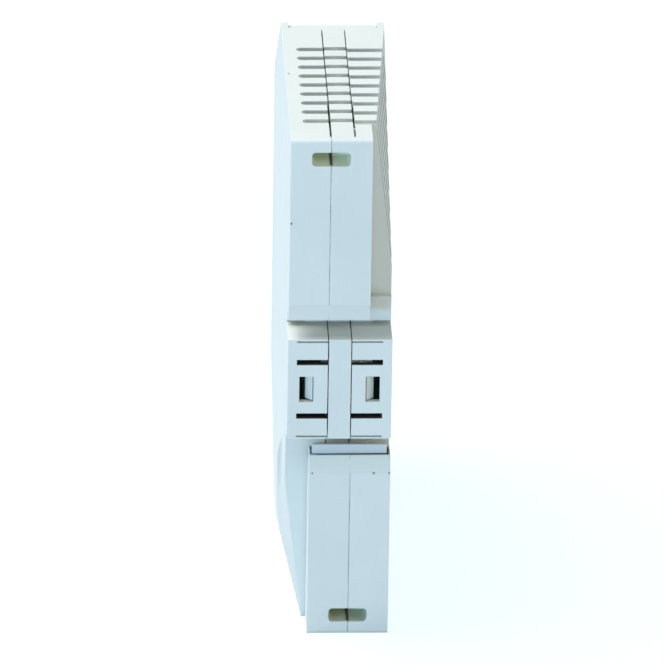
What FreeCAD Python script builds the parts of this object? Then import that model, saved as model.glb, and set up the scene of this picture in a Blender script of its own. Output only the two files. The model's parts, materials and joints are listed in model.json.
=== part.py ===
import FreeCAD, Part
import math
import os

# A slim module for a 35 mm mounting rail. Millimetres, +Z up.
# The rail side is at -Y, the port side at +Y, and the origin is the centre of the base.
# Everything is built with the rear plane at y = 0 and moved back by half the depth at the end.

Vector = FreeCAD.Vector

# Overall sizes
width = 22.5
depth = 100.0
frame_width = 5.0
wall = 1.6
seam_gap = 0.2
foot_seam = 0.07
seam_relief = 0.2
fit_gap = 0.15
move_gap = 0.3

# Mounting rail, 35 x 7.5 top-hat section
rail_height = 35.0
rail_depth = 7.5
rail_channel = 25.0
rail_play = 0.3

# Rear of the housing
hook_overlap = 1.6
foot_height = 42.5
block_play = 0.8
wall_recess = 1.2
seat_half = 18.5
foot_width = 17.65
jaw_height = 4.0
jaw_depth = 6.3
jaw_tilt = 0.45
jaw_lean = 0.35
jaw_roll = 2.4
jaw_tenon = 5.0
foot_end_block = 7.5
foot_plate = 2.1
bracket_slot = (8.3, 3.2, 6.4)
bracket_slot_inset = 4.5
bracket_slot_radius = 0.9
foot_radius = 0.8
drain_height = 1.1
drain_depth = 2.0

height = 2 * foot_height + rail_height - 2 * hook_overlap
middle = height / 2
jaw_half = rail_height / 2 - hook_overlap
block_half = rail_channel / 2 - block_play
seat_y = rail_depth + rail_play
rear_y = seat_y + wall_recess
half = width / 2
shell_x = frame_width / 2 + seam_gap / 2
frame_x = frame_width / 2 - seam_gap / 2
jaw_z = middle + jaw_half
foot_z = jaw_z + jaw_height
foot_inner_x = foot_width - half

# Top surface, corner cut and louvres
front_length = 37.0
roof_end = depth - front_length
cut_side = 3.9
cut_drop = 33.0
louvre_pitch = 5.0
louvre_first = 10.7
louvre_margin = 12.0
louvre_count = int((roof_end - louvre_first - louvre_margin) / louvre_pitch) + 1
louvre_width = 1.9
louvre_x = 8.4
frame_louvre_shift = 0.4
floor_louvre_shift = -0.5
relief_end = 22.0
spine_width = 1.6
spine_drop = 2.0

# Rear panel features on the block between the feet
panel_x = 9.3
groove_inset = 0.55
groove_height = 0.35
groove_depth = 1.0
tongue_half = 5.7
tongue_slot = 1.25
window_x = 5.65
window_width = 3.05
window_height = 6.0
ramp_width = 1.6
ramp_tip = 0.5
arm_thickness = 2.0

# Front: cheeks, bezel and its slopes
cheek_start = 3.0
shoulder = 24.0
shoulder_step = 0.6
bezel_inset = 0.8
bezel_wall = 1.8
bezel_recess = 3.0
bezel_front = depth - bezel_recess
bezel_half = half - wall - fit_gap
slope_start = roof_end + cheek_start + move_gap

# Flap
flap_thickness = 1.8
flap_half = bezel_half - 0.2
flap_hinge_y = depth - 1.6
flap_hinge_z = middle - 30.4
flap_top = middle + 14.6
flap_edge_radius = 0.6
flap_lip = (8.0, 1.2, 1.0)
pin_radius = 0.75
pin_inset = 0.6
knuckle_radius = 1.2
knuckle_half = 6.5
knuckle_gap = 0.4
ear_half = 1.6
ear_front = depth - 0.4
ear_side_gap = 0.1
flap_turn_gap = 1.4
running_gap = 0.05

# Boards
board = 1.6
board_gap = 0.45
board_margin = 5.0
board_rear_gap = 2.0
board_front_gap = 5.0
main_board_x = -half + wall + board_gap
power_board_x = half - wall - board_gap - board
front_board_y = bezel_front - 13.0
front_board_drop = 23.0
front_board_rise = 26.4
front_board_side = 0.6
main_face = main_board_x + board
power_face = power_board_x
switch_y = front_board_y + board
screw_radius = 0.95
screw_hole = 1.1
screw_head = (1.9, 1.2)
screw_slot = (0.5, 0.5)

# Parts on the boards: places are (y, z), sizes are (y, z, height off the board)
link_place = (roof_end - 33.0, middle + 4.0)
link_size = (20.0, 5.0, 2.5)
link_socket_gap = 9.0
link_pins = 7
link_rows = (1.23, 3.77)
link_pin = 0.64
pin_pitch = 2.54
pin_hole_gap = 0.08
chip_place = (front_board_y - 28.0, middle - 20.0)
chip_size = (14.0, 14.0, 1.5)
chip_stand = 0.15
chip_legs = 10
chip_leg_pitch = 1.25
chip_leg = (1.5, 0.5, 0.5)
chip_dot = (0.8, 1.8)
memory_place = (front_board_y - 32.0, (middle + 16.0, middle + 27.0))
memory_size = (11.0, 7.0, 1.1)
transformer_place = (roof_end - 27.0, middle - 34.4)
transformer_size = (14.0, 14.0, 10.0)
transformer_limb = 3.0
winding_gap = 0.5
winding_rise = 1.0
can_places = ((rear_y + 11.0, middle - 14.4), (rear_y + 11.0, middle - 4.4), (rear_y + 13.0, middle - 39.9))
can_size = (4.0, 11.0)
can_groove = (2.4, 0.6, 0.4)
spreader_place = (roof_end - 23.0, middle + 13.6)
spreader_size = (18.0, 16.0, 7.0)
spreader_base = 2.0
fin_count = 6
fin_pitch = 3.4
fin_width = 1.0

# Ports. On a slope, t is the distance down it and heights are measured out of it.
slot_plug = (6.7, 3.6)
plug_reach = 5.4
plug_insert = 7.0
plug_t = 31.0
socket_wall = 0.8
socket_floor = 3.0
socket_recess = 0.3
pole_count = 4
pole_pitch = 3.5
pole_pin = 0.5
pole_pin_length = 8.4
pole_pin_tail = 1.2
pole_bore = 0.8
wire_entry = (2.4, 2.5, 4.4)
wire_entry_t = 0.5
clamp_hole = 1.25
clamp_head = (1.15, 1.0)
clamp_sink = 1.6
clamp_t = -1.9
clamp_slot = 0.4
lan_half = 7.6
lan_t = 11.5
lan_size = 13.5
lan_depth = 12.0
lan_recess = 0.2
lan_back = 1.5
lan_mouth = (11.8, -3.6, 4.4)
lan_notch = (6.0, -5.4)
lan_pitch = 1.02
lan_wire = 0.35
lan_spring = 3.0
port_back_gap = 0.5
fibre_t = (15.0, 29.0)
fibre_radius = 3.5
fibre_reach = 6.0
ferrule_radius = 1.25
ferrule_depth = 7.0
sleeve_radius = 1.8
sleeve_foot = 2.3
sleeve_bottom = 8.5
sleeve_recess = 0.5
well_radius = 2.6
keyway = (1.0, 2.5)
lug = (0.7, 0.7, 2.0)
module_socket = 2.4
module_size = (13.0, 9.0, 6.5, 13.0)
cap_gap = 1.0
cap_wall = 1.1
cap_reach = 7.5
cap_round = 0.7

# Controls
dial_z = middle + 7.6
dial_radius = 3.6
dial_case_half = 5.0
dial_floor = 3.0
dial_slot = (1.1, 5.2, 1.4)
dial_arrow = (2.8, 1.9, 1.1)
dial_notch = (0.8, 2.4)
dip_z = middle - 6.4
dip_count = 4
dip_half = (5.6, 4.6)
dip_window = (5.0, 3.4)
slider_size = (1.3, 1.4)
slider_travel = 1.6
slider_reach = 1.0
slider_root = 2.7
slider_well = 3.0
button_x = -4.2
button_z = middle - 18.4
button_radius = 1.9
button_stem = 1.75
button_floor = 1.6
button_case = (3.0, 3.4)
button_travel = 0.6
button_proud = 0.1
button_round = 0.3
jack_x = 3.6
jack_half = (4.0, 1.6)
jack_mouth = (3.4, 1.0, 6.0)
jack_blade = (2.4, 0.3, 1.2)
lamp_x = 4.5
lamp_rows = (17.6, 21.2, 24.8)
lamp_radius = 1.2
lamp_size = (1.0, 0.7, 1.2)
guide_gap = 0.4
guide_bar = (1.6, 3.0, 1.4)
guide_bar_end = (1.8, 1.2)
guide_proud = 0.3

# Rail latch
latch_travel = 2.6
latch_rise = 1.7
latch_side = 0.55
latch_front = 4.9
latch_back = 2.1
latch_tail_z = 20.0
latch_entry = 0.95
latch_neck_side = 1.0
latch_nose = ((1.25, 2.6), (2.5, 0.0), (3.1, 0.0), (3.3, 1.3))
latch_step = 2.0
guide_tenon_hole = 6.0
spring_wire = 0.7
spring_side = 0.6
spring_half = 3.2
spring_turns = 6


def box(x0, x1, y0, y1, z0, z1):
    size = (x1 - x0, y1 - y0, z1 - z0)
    return Part.makeBox(size[0], size[1], size[2], Vector(x0, y0, z0))


def prism(points, x0, x1):
    """Extrude a (y, z) outline along X."""
    corners = [Vector(x0, y, z) for y, z in points]
    face = Part.Face(Part.makePolygon(corners + corners[:1]))
    return face.extrude(Vector(x1 - x0, 0, 0))


def upright(points, z0, z1):
    """Extrude an (x, y) outline along Z."""
    corners = [Vector(x, y, z0) for x, y in points]
    face = Part.Face(Part.makePolygon(corners + corners[:1]))
    return face.extrude(Vector(0, 0, z1 - z0))


def rod(radius, start, direction, length):
    return Part.makeCylinder(radius, length, Vector(*start), Vector(*direction))


def joined(shapes):
    first = shapes[0]
    return first.fuse(shapes[1:]).removeSplitter()


def turned(shape):
    """Half turn about the depth axis through the middle of the rail."""
    copy = shape.copy()
    copy.rotate(Vector(0, 0, middle), Vector(0, 1, 0), 180)
    return copy


def rounded(shape, radius, picks):
    """Fillet the straight edges that pick(mid point) accepts."""
    edges = [edge for edge in shape.Edges if picks(edge.CenterOfMass)]
    return shape.makeFillet(radius, edges)


# The slope that joins the roof to the front face, as a local frame:
# local Y runs down the slope, local Z points out of it.
slope_drop = shoulder - bezel_inset - shoulder_step
slope_run = bezel_front - slope_start
slope_angle = -math.degrees(math.atan2(slope_drop, slope_run))


def on_slope(shape):
    copy = shape.copy()
    copy.rotate(Vector(0, 0, 0), Vector(1, 0, 0), slope_angle)
    copy.translate(Vector(0, slope_start, height - bezel_inset))
    return copy


# ---------------------------------------------------------------- housing


def corner_cut(inward):
    """The space outside the bevel at the lower left rear corner, moved inward by a wall."""
    far = Vector(-half, roof_end, 0)
    side = Vector(-half, rear_y, cut_drop)
    base = Vector(-half + cut_side, rear_y, 0)
    normal = (side - far).cross(base - far).normalize()
    if normal.x > 0:
        normal = normal * -1
    centre = (far + side + base) * (1 / 3)
    corners = [centre + (point - centre) * 4 - normal * inward for point in (far, side, base)]
    face = Part.Face(Part.makePolygon(corners + corners[:1]))
    return face.extrude(normal * 40)


def louvre_slabs(shift=0.0):
    """One slab per louvre, as (y0, y1)."""
    for index in range(louvre_count):
        centre = louvre_first + index * louvre_pitch + shift
        yield centre - louvre_width / 2, centre + louvre_width / 2


def roof_slots():
    """Louvre slots in the left shell's roof, with a round outer end."""
    cuts = []
    radius = louvre_width / 2
    for y0, y1 in louvre_slabs():
        cuts.append(box(-louvre_x + radius, -shell_x + 1, y0, y1, height - wall, height + 1))
        start = (-louvre_x + radius, y0 + radius, height - wall)
        cuts.append(rod(radius, start, (0, 0, 1), wall + 1))
    return cuts


def floor_slots():
    """Louvre slots in the left shell's floor, which run up over the bevel."""
    cuts = []
    skin = corner_cut(wall)
    for y0, y1 in louvre_slabs(floor_louvre_shift):
        cuts.append(box(-half - 1, -shell_x + 1, y0, y1, -1, wall))
        slab = box(-half - 1, -shell_x, y0, y1, -1, cut_drop + wall)
        cuts.append(skin.common(slab))
    return cuts


def cheek():
    outline = [(rear_y, 0), (roof_end + cheek_start, 0), (depth, shoulder)]
    outline += [(depth, height - shoulder), (roof_end + cheek_start, height), (rear_y, height)]
    return prism(outline, -half, -half + wall)


def foot_block(x0, x1, y1):
    """One half of the upper foot, with its rear and top edge rounded."""
    block = box(x0, x1, 0, y1, foot_z, height)
    return rounded(block, foot_radius, lambda p: p.y < 0.01 and p.z > height - 0.01)


def foot_cavity(x0, x1):
    return box(x0, x1, wall, rear_y - wall, foot_z - 1, height - foot_end_block)


def bracket_pocket():
    size_x, size_z, deep = bracket_slot
    z = height - bracket_slot_inset
    pocket = box(-size_x / 2, size_x / 2, -1, deep, z - size_z / 2, z + size_z / 2)
    along = (deep - 1) / 2
    pocket = rounded(pocket, bracket_slot_radius,
                     lambda p: abs(abs(p.x) - size_x / 2) < 0.01 and abs(p.y - along) < 0.01)
    pocket.translate(Vector(-frame_width / 2, 0, 0))
    return pocket


def panel_cuts():
    """Grooves, slots and window in the left half of the block between the feet."""
    cuts = []
    groove_z = block_half - groove_inset
    for sign in (-1, 1):
        z = middle + sign * groove_z
        z0 = z - groove_height / 2
        cuts.append(box(-panel_x, -shell_x + 1, -1, groove_depth, z0, z0 + groove_height))
        z = middle + sign * (tongue_half + tongue_slot / 2)
        cuts.append(box(-panel_x, -shell_x + 1, -1, wall + 1, z - tongue_slot / 2, z + tongue_slot / 2))
    z0 = middle - window_height / 2
    cuts.append(box(-window_x - window_width, -window_x, -1, wall + 1, z0, z0 + window_height))
    return cuts


def rim(x0, x1):
    """Roof, floor and rear wall between two planes."""
    outer = box(x0, x1, rear_y, roof_end, 0, height)
    inner = box(x0 - 1, x1 + 1, rear_y + wall, roof_end + 1, wall, height - wall)
    return outer.cut(inner)


def block(x0, x1):
    """Block that sits in the rail's channel, and the seat for the rail's flanges."""
    solid = box(x0, x1, 0, rear_y, middle - block_half, middle + block_half)
    seat = box(x0, x1, seat_y, rear_y, middle - seat_half, middle + seat_half)
    return solid.fuse(seat)


def block_cavity(x0, x1):
    """Hollow of the block, open to the inside of the housing."""
    inner = block_half - wall
    return box(x0, x1, wall, rear_y + wall + 1, middle - inner, middle + inner)


def drain_grooves(x0, x1):
    """A deep groove along the block's upper and lower side, at the foot of each flange seat."""
    y1 = seat_y + drain_depth
    upper = box(x0, x1, seat_y - 0.01, y1, middle + block_half, middle + block_half + drain_height)
    lower = box(x0, x1, seat_y - 0.01, y1, middle - block_half - drain_height, middle - block_half)
    return [upper, lower]


def seam_reliefs():
    """The seams beside the frame are wider near the rear, on the roof and the floor."""
    x0 = -shell_x - seam_relief
    roof = box(x0, -shell_x + 1, foot_plate, relief_end, height - wall, height + 1)
    base = box(x0, -shell_x + 1, foot_plate, relief_end, -1, wall)
    return [roof, base]


def left_shell():
    plates = [cheek(), rim(-half + wall / 2, -shell_x), block(-half, -shell_x)]
    plates.append(foot_block(-half, -shell_x, rear_y))
    shell = joined(plates)
    inner_x = -half + wall
    shell = shell.cut([block_cavity(inner_x, -shell_x + 1), foot_cavity(inner_x, -shell_x + 1)])
    bevel = corner_cut(0)
    lining = corner_cut(wall).common(box(-half, -shell_x, rear_y, roof_end, 0, cut_drop + wall * 4))
    shell = shell.fuse(lining).cut(bevel)
    shell = shell.cut(roof_slots() + floor_slots() + panel_cuts() + [bracket_pocket()])
    return shell.cut(drain_grooves(-half - 1, -shell_x + 1) + seam_reliefs()).removeSplitter()


def right_shell(left):
    return turned(left)


def catch_arm():
    """Arm that reaches behind the left tongue, with a ramp in its window."""
    near = -window_x - fit_gap
    front = wall + arm_thickness
    outline = [(0, wall + move_gap), (near, wall + move_gap), (near, ramp_tip)]
    outline += [(near - ramp_width, wall + move_gap), (near - ramp_width, front), (0, front)]
    inset = window_height / 2 - fit_gap
    arm = upright(outline, middle - inset, middle + inset)
    boss = box(-frame_x, 0, wall - 0.5, front, middle - inset, middle + inset)
    return arm.fuse(boss)


def frame_foot():
    """The right half of the upper foot, which belongs to the frame."""
    foot = foot_block(-shell_x + foot_seam, foot_inner_x, rear_y - fit_gap)
    seams = []
    for x0, x1 in ((-shell_x, -frame_x), (frame_x, shell_x + seam_relief)):
        seams.append(box(x0, x1, foot_plate, rear_y, height - wall, height + 1))
    return foot.cut([foot_cavity(-frame_x - 1, foot_inner_x - wall), bracket_pocket()] + seams)


def spine():
    z1 = height - wall
    return box(-spine_width / 2, spine_width / 2, rear_y + wall, roof_end, z1 - spine_drop, z1)


def centre_frame():
    foot = frame_foot()
    root = box(-frame_x, frame_x, rear_y - 1, rear_y + 1, foot_z, height)
    block_part = block(-frame_x, frame_x).cut(block_cavity(-frame_x - 1, frame_x + 1))
    pieces = [rim(-frame_x, frame_x), block_part, foot, turned(foot), root, turned(root)]
    pieces += [spine(), turned(spine()), catch_arm(), turned(catch_arm())]
    frame = joined(pieces)
    cuts = []
    for y0, y1 in louvre_slabs(frame_louvre_shift):
        slot = box(-frame_x - 1, frame_x + 1, y0, y1, height - wall, height + 1)
        cuts += [slot, turned(slot)]
    return frame.cut(cuts + drain_grooves(-frame_x - 1, frame_x + 1)).removeSplitter()


# ---------------------------------------------------------------- rail fixing


def jaw():
    """Upper insert: one piece across both halves of the foot, with a tenon in the cavity."""
    start = Vector(-half, 0, foot_z)
    bend = Vector(-half, jaw_tilt * 0.25, foot_z - jaw_roll * 0.5)
    end = Vector(-half, jaw_tilt, foot_z - jaw_roll)
    roll = Part.Arc(start, bend, end).toShape()
    corners = [end, Vector(-half, jaw_tilt + jaw_lean, jaw_z), Vector(-half, jaw_depth, jaw_z)]
    corners += [Vector(-half, jaw_depth, foot_z), start]
    rest = [Part.makeLine(a, b) for a, b in zip(corners, corners[1:])]
    solid = Part.Face(Part.Wire([roll] + rest)).extrude(Vector(foot_inner_x + half, 0, 0))
    x0 = -half + wall + fit_gap
    x1 = foot_inner_x - wall - fit_gap
    tenon = box(x0, x1, wall + fit_gap, jaw_depth, foot_z, foot_z + jaw_tenon)
    return solid.fuse(tenon).removeSplitter()


def latch_guide():
    y0 = latch_entry
    y1 = latch_front + fit_gap
    inset = wall + latch_neck_side
    opening = box(-half + latch_side, foot_inner_x - latch_side, y0, y1, jaw_z - 1, foot_z)
    tenon_hole = box(-half + inset, foot_inner_x - inset, y0, y1, foot_z - 1, foot_z + guide_tenon_hole)
    return turned(jaw().cut([opening, tenon_hole]))


def rail_latch():
    """Sprung latch in the lower foot. Its sloped nose stands out of the guide."""
    tip = middle - jaw_half + latch_rise
    step = tip - latch_travel
    ledge = tip - latch_nose[-1][1]
    nose = [(latch_back, step - latch_step), (latch_back, step)]
    nose += [(y, tip - drop) for y, drop in latch_nose]
    nose += [(latch_front, ledge), (latch_front, step - latch_step)]
    x0 = -foot_inner_x + latch_side + fit_gap
    x1 = half - latch_side - fit_gap
    head = prism(nose, x0, x1)
    neck_x0 = -foot_inner_x + wall + latch_neck_side + fit_gap
    neck_x1 = half - wall - latch_neck_side - fit_gap
    neck_top = middle - jaw_half - jaw_height
    neck = box(neck_x0, neck_x1, latch_back, latch_front, latch_tail_z, step)
    head_low = neck_top + latch_travel + fit_gap
    head = head.cut(box(x0 - 1, x1 + 1, 0, 9, 0, head_low))
    return joined([head, neck])


def latch_spring():
    """Folded wire spring between the latch and the closed end of the foot."""
    z0 = foot_end_block
    z1 = latch_tail_z
    x = frame_width / 2
    y0 = latch_back + spring_side
    y1 = latch_front - spring_side
    rise = (z1 - z0 - spring_wire) / spring_turns
    legs = []
    for index in range(spring_turns):
        sign = 1 if index % 2 == 0 else -1
        low = z0 + index * rise
        a = x - sign * spring_half
        b = x + sign * spring_half
        corners = [Vector(a, y0, low), Vector(b, y0, low + rise)]
        corners += [Vector(b, y0, low + rise + spring_wire), Vector(a, y0, low + spring_wire)]
        face = Part.Face(Part.makePolygon(corners + corners[:1]))
        legs.append(face.extrude(Vector(0, y1 - y0, 0)))
    return joined(legs)


# ---------------------------------------------------------------- front


def bezel_outline(inset, rear):
    """(y, z) outline of the bezel, moved inward."""
    edge = bezel_inset + inset
    start = slope_start - inset * 0.32
    front = bezel_front - inset
    corner = bezel_inset + slope_drop + inset * 0.68
    low = [(rear, edge), (start, edge), (front, corner)]
    return low + [(y, height - z) for y, z in reversed(low)]


def mirrored(shape):
    return shape.mirror(Vector(0, 0, 0), Vector(1, 0, 0))


def front_bezel():
    outer = prism(bezel_outline(0, roof_end + fit_gap), -bezel_half, bezel_half)
    inner = prism(bezel_outline(bezel_wall, roof_end - 1), -bezel_half - 1, bezel_half + 1)
    shell = outer.cut(inner).fuse([hinge_ear(), mirrored(hinge_ear())])
    return shell.cut(bezel_openings()).removeSplitter()


def hinge_ear():
    x0 = knuckle_half + knuckle_gap
    x1 = bezel_half - ear_side_gap
    z0 = flap_hinge_z - ear_half
    ear = box(x0, x1, bezel_front - ear_side_gap, ear_front, z0, z0 + 2 * ear_half)
    deep = x1 - knuckle_half - pin_inset
    hole = rod(pin_radius, (knuckle_half, flap_hinge_y, flap_hinge_z), (1, 0, 0), deep)
    return ear.cut(hole)


def through_slope(half_x, half_t, t):
    """A rectangular hole through the bezel's upper slope."""
    reach = 2 * bezel_wall
    return on_slope(box(-half_x, half_x, t - half_t, t + half_t, -reach, reach))


def through_front(half_x, half_z, x, z):
    """A rectangular hole through the bezel's front."""
    y0 = bezel_front - 2 * bezel_wall
    return box(x - half_x, x + half_x, y0, bezel_front + 1, z - half_z, z + half_z)


def round_through_front(radius, x, z):
    return rod(radius, (x, bezel_front - 2 * bezel_wall, z), (0, 1, 0), 2 * bezel_wall + 1)


def bezel_openings():
    socket_x = slot_plug[0] + socket_wall + fit_gap
    socket_t = slot_plug[1] + socket_wall + fit_gap
    cuts = [through_slope(socket_x, socket_t, plug_t)]
    cuts.append(through_slope(lan_half + fit_gap, lan_size / 2 + fit_gap, lan_t))
    for t in fibre_t:
        barrel = rod(fibre_radius + fit_gap, (0, t, -2 * bezel_wall), (0, 0, 1), 4 * bezel_wall)
        cuts.append(turned(on_slope(barrel)))
    cuts.append(round_through_front(dial_radius + move_gap, 0, dial_z))
    cuts.append(through_front(*dip_window, 0, dip_z))
    cuts.append(round_through_front(button_radius + move_gap, button_x, button_z))
    cuts.append(through_front(jack_half[0] + fit_gap, jack_half[1] + fit_gap, jack_x, button_z))
    for x, z in lamp_places():
        cuts.append(round_through_front(lamp_radius + fit_gap, x, z))
    return cuts


def lamp_places():
    return [(sign * lamp_x, middle + row) for row in lamp_rows for sign in (-1, 1)]


def front_flap():
    y0 = flap_hinge_y - flap_thickness / 2
    y1 = y0 + flap_thickness
    turn_z = flap_hinge_z + ear_half + flap_turn_gap
    plate = box(-flap_half, flap_half, y0, y1, turn_z, flap_top)
    plate = rounded(plate, flap_edge_radius, lambda p: p.y > y1 - 0.01)
    neck = box(-knuckle_half, knuckle_half, y0, y1, flap_hinge_z, turn_z + flap_edge_radius)
    knuckle = rod(knuckle_radius, (-knuckle_half, flap_hinge_y, flap_hinge_z), (1, 0, 0), 2 * knuckle_half)
    lip_x, lip_z, lip_drop = flap_lip
    lip_top = flap_top - lip_drop
    lip = box(-lip_x / 2, lip_x / 2, y1 - flap_edge_radius, depth - ear_side_gap, lip_top - lip_z, lip_top)
    hole = rod(pin_radius + running_gap, (-half, flap_hinge_y, flap_hinge_z), (1, 0, 0), width)
    return joined([plate, neck, knuckle, lip]).cut(hole)


def flap_pin():
    reach = bezel_half - ear_side_gap - pin_inset
    return rod(pin_radius, (-reach, flap_hinge_y, flap_hinge_z), (1, 0, 0), 2 * reach)


# ---------------------------------------------------------------- boards and what they carry


def on_main(place, size, start=0.0):
    """A block on the main board, from start to size[2] off it."""
    y, z = place
    return box(main_face + start, main_face + size[2], y, y + size[0], z, z + size[1])


def on_power(place, size, start=0.0):
    """A block on the power board, from start to size[2] off it."""
    y, z = place
    return box(power_face - size[2], power_face - start, y, y + size[0], z, z + size[1])


def main_board():
    rear = rear_y + wall + board_rear_gap
    floor = wall + board_margin
    nose = bezel_front - board_front_gap
    turn = shoulder + board_margin / 2
    slope = roof_end + board_rear_gap
    outline = [(rear, cut_drop + board_rear_gap), (roof_end - board_margin, floor), (slope, floor)]
    outline += [(nose, turn), (nose, height - turn), (slope, height - floor), (rear, height - floor)]
    sheet = prism(outline, main_board_x, main_face)
    holes = [rod(screw_hole, (main_board_x - 1, y, z), (1, 0, 0), board + 2) for y, z in screw_places()]
    return sheet.cut(holes)


def power_board():
    rear = rear_y + wall + board_rear_gap
    nose = roof_end - board_rear_gap
    floor = wall + board_margin
    top = height - floor - 1.0
    outline = [(rear, floor), (nose, floor), (nose, top), (nose - 4.0, top), (rear, height - cut_drop - 2.0)]
    return prism(outline, power_board_x, power_board_x + board)


def screw_places():
    rear = rear_y + 8.0
    top = height - 14.0
    return [(rear, top), (rear, cut_drop + 10.0), (roof_end - 2.0, top), (roof_end - 4.0, 14.0)]


def board_screws():
    """Four slotted screws that hold the main board to the left shell's pads."""
    radius, tall = screw_head
    slot_width, slot_depth = screw_slot
    screws = []
    for y, z in screw_places():
        shank = rod(screw_radius, (main_board_x, y, z), (1, 0, 0), board)
        head = rod(radius, (main_face, y, z), (1, 0, 0), tall)
        x0 = main_face + tall - slot_depth
        slot = box(x0, x0 + 1, y - slot_width / 2, y + slot_width / 2, z - radius, z + radius)
        screws.append(shank.fuse(head).cut(slot).removeSplitter())
    return Part.makeCompound(screws)


def front_board():
    x1 = bezel_half - front_board_side
    z0 = middle - front_board_drop
    return box(main_face + running_gap, x1, front_board_y, switch_y, z0, middle + front_board_rise)


def link_posts(x0, x1, side):
    """Square posts of the board link, from x0 to x1."""
    y, z = link_place
    inset = (link_size[0] - (link_pins - 1) * pin_pitch) / 2
    posts = []
    for index in range(link_pins):
        y0 = y + inset + index * pin_pitch - side / 2
        for row in link_rows:
            z0 = z + row - side / 2
            posts.append(box(x0, x1, y0, y0 + side, z0, z0 + side))
    return posts


def board_link():
    """Two-row header between the boards."""
    return joined([on_main(link_place, link_size)] + link_posts(main_face + 2.0, power_face, link_pin))


def link_socket():
    x0 = main_face + link_socket_gap
    y, z = link_place
    body = box(x0, power_face, y, y + link_size[0], z, z + link_size[1])
    return body.cut(link_posts(x0 - 1, power_face + 1, link_pin + 2 * pin_hole_gap))


def control_chip():
    y, z = chip_place
    radius, inset = chip_dot
    body = on_main(chip_place, chip_size, chip_stand)
    dot = rod(radius, (main_face + chip_size[2] - 0.2, y + inset, z + chip_size[1] - inset), (1, 0, 0), 1)
    run, wide, tall = chip_leg
    first = (chip_size[1] - (chip_legs - 1) * chip_leg_pitch - wide) / 2
    legs = []
    for index in range(chip_legs):
        z0 = z + first + index * chip_leg_pitch
        for y0 in (y - 1.0, y + chip_size[0] - 0.5):
            legs.append(on_main((y0, z0), (run, wide, tall)))
    return joined([body.cut(dot)] + legs)


def memory_chips():
    y, heights = memory_place
    return Part.makeCompound([on_main((y, z), memory_size) for z in heights])


def transformer():
    y, z = transformer_place
    long, tall, high = transformer_size
    core = on_power(transformer_place, transformer_size)
    inner = (long - 2 * transformer_limb, tall - 2 * transformer_limb, high + 1)
    window = on_power((y + transformer_limb, z + transformer_limb), inner, transformer_limb - 1)
    bobbin_place = (y + transformer_limb + winding_gap, z + transformer_limb - winding_rise)
    bobbin = (inner[0] - 2 * winding_gap, inner[1] + 2 * winding_rise, high - 1)
    return joined([core.cut(window), on_power(bobbin_place, bobbin, 1.0)])


def storage_capacitors():
    radius, tall = can_size
    foot, groove_width, groove_depth = can_groove
    cans = []
    for y, z in can_places:
        can = rod(radius, (power_face - tall, y, z), (1, 0, 0), tall)
        ring = rod(radius + 1, (power_face - foot, y, z), (1, 0, 0), groove_width)
        core = rod(radius - groove_depth, (power_face - foot - 1, y, z), (1, 0, 0), groove_width + 2)
        cans.append(can.cut(ring.cut(core)))
    return Part.makeCompound(cans)


def heat_spreader():
    y, z = spreader_place
    long, tall, high = spreader_size
    pieces = [on_power(spreader_place, (long, tall, spreader_base))]
    for index in range(fin_count):
        pieces.append(on_power((y + index * fin_pitch, z), (fin_width, tall, high)))
    return joined(pieces)


# ---------------------------------------------------------------- connectors


def behind_bezel(x1, half_t, t, bottom):
    """The back part of a port, from the main board across."""
    return box(main_face, x1, t - half_t, t + half_t, bottom, -bezel_wall - port_back_gap)


def pole_places():
    return [(index - (pole_count - 1) / 2) * pole_pitch for index in range(pole_count)]


def power_socket():
    x, half_t = slot_plug
    outer_x = x + socket_wall
    outer_t = half_t + socket_wall
    bottom = -plug_insert - socket_floor
    back = -bezel_wall - port_back_gap
    nose = box(-outer_x, outer_x, plug_t - outer_t, plug_t + outer_t, back, -socket_recess)
    body = joined([nose, behind_bezel(outer_x, outer_t, plug_t, bottom)])
    x += fit_gap
    half_t += fit_gap
    hollow = box(-x, x, plug_t - half_t, plug_t + half_t, -plug_insert - fit_gap, 1)
    pins = []
    for pole in pole_places():
        pins.append(rod(pole_pin, (pole, plug_t, bottom - 1), (0, 0, 1), 2 * socket_floor))
    return on_slope(body.cut([hollow] + pins))


def socket_pins():
    bottom = -plug_insert - socket_floor - pole_pin_tail
    pins = []
    for pole in pole_places():
        pins.append(rod(pole_pin, (pole, plug_t, bottom), (0, 0, 1), pole_pin_length))
    return on_slope(Part.makeCompound(pins))


def power_plug():
    x, half_t = slot_plug
    body = box(-x, x, plug_t - half_t, plug_t + half_t, -plug_insert, plug_reach)
    entry_x, entry_t, entry_deep = wire_entry
    t0 = plug_t + wire_entry_t
    clamp_base = plug_reach - clamp_sink
    cuts = []
    for pole in pole_places():
        cuts.append(rod(pole_bore, (pole, plug_t, -plug_insert - 1), (0, 0, 1), plug_insert - 0.5))
        x0 = pole - entry_x / 2
        cuts.append(box(x0, x0 + entry_x, t0, t0 + entry_t, plug_reach - entry_deep, plug_reach + 1))
        cuts.append(rod(clamp_hole, (pole, plug_t + clamp_t, clamp_base), (0, 0, 1), 2 * clamp_sink))
    return on_slope(body.cut(cuts))


def plug_screws():
    radius, tall = clamp_head
    base = plug_reach - clamp_sink
    screws = []
    for pole in pole_places():
        t = plug_t + clamp_t
        head = rod(radius, (pole, t, base), (0, 0, 1), tall)
        x0 = pole - clamp_slot / 2
        slot = box(x0, x0 + clamp_slot, t - 2 * radius, t + 2 * radius, base + tall * 0.6, base + 2 * tall)
        screws.append(head.cut(slot))
    return on_slope(Part.makeCompound(screws))


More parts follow.
